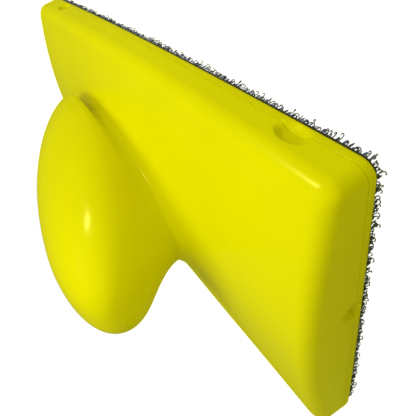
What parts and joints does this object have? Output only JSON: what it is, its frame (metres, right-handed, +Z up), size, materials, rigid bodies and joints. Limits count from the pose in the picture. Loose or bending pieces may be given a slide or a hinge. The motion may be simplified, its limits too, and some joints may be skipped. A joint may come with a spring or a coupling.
{
  "type": "hand sanding block",
  "caption": "Palm-grip hand sanding block: a moulded foam plate with a domed grip on a waisted neck, and a hook-tape base that holds hook-and-loop abrasive sheets.",
  "frame": {"origin": "centre of the footprint, on the surface that the hook tips rest on", "axes": "+X along the block's length, +Y across its width, +Z up through the palm dome"},
  "size_m": [0.125, 0.0716, 0.0428],
  "materials": {
    "moulded_foam": "satin moulded skin",
    "adhesive": "dull, slightly tacky",
    "tape_weave": "woven, dull",
    "hook_filament": "translucent nylon monofilament"
  },
  "bodies": {
    "root": {"grip_body": "moulded_foam", "adhesive_film": "adhesive", "hook_tape_backing": "tape_weave", "hook_field": "hook_filament"}
  },
  "joints": []
}
